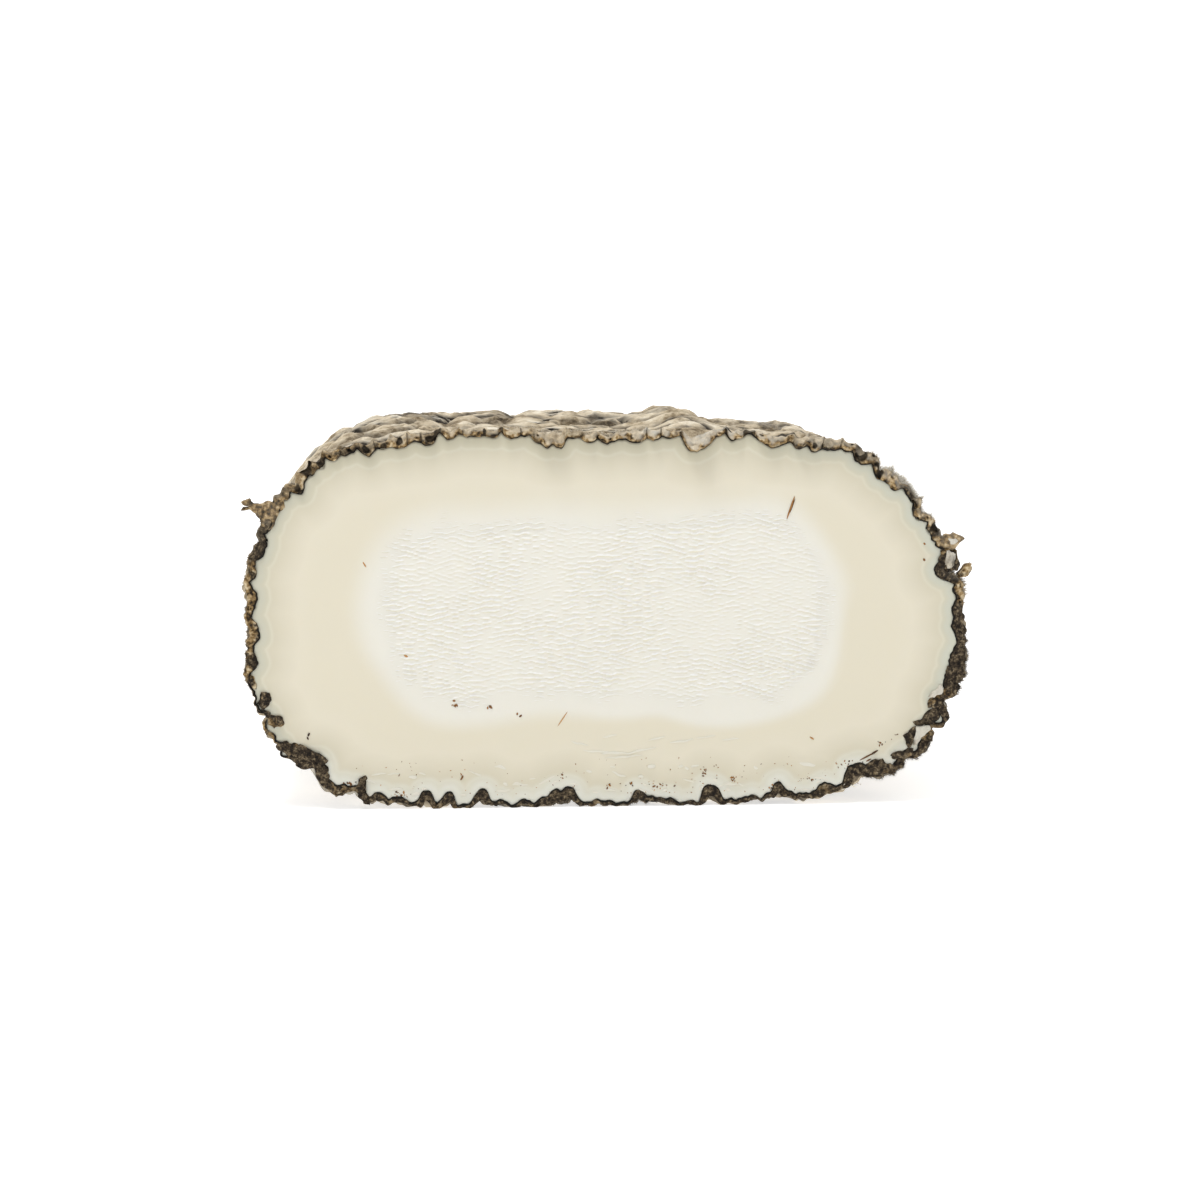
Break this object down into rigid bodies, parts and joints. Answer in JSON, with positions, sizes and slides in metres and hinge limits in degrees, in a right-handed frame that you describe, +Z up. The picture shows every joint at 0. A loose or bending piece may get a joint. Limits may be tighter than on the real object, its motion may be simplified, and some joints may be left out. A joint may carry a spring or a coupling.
{
  "type": "half goat cheese log",
  "caption": "Half of a flattened, ash-ripened goat cheese log with a wrinkled mould rind, cut square across to show a chalky white core inside a creamy layer.",
  "frame": {"origin": "on the base plane, under the middle of the piece's width and length", "axes": "+X across the log to the right of the cut face, +Y along the log from the cut face to its rounded far end, +Z up"},
  "size_m": [0.131, 0.1, 0.068],
  "materials": {
    "paste": "moist, smooth cream-white cheese paste, chalkier and whiter in the middle of the cut face",
    "rind": "dry wrinkled mould rind, beige-grey with ash-black creases"
  },
  "bodies": {
    "root": {"goat_cheese_log": "paste"}
  },
  "joints": []
}
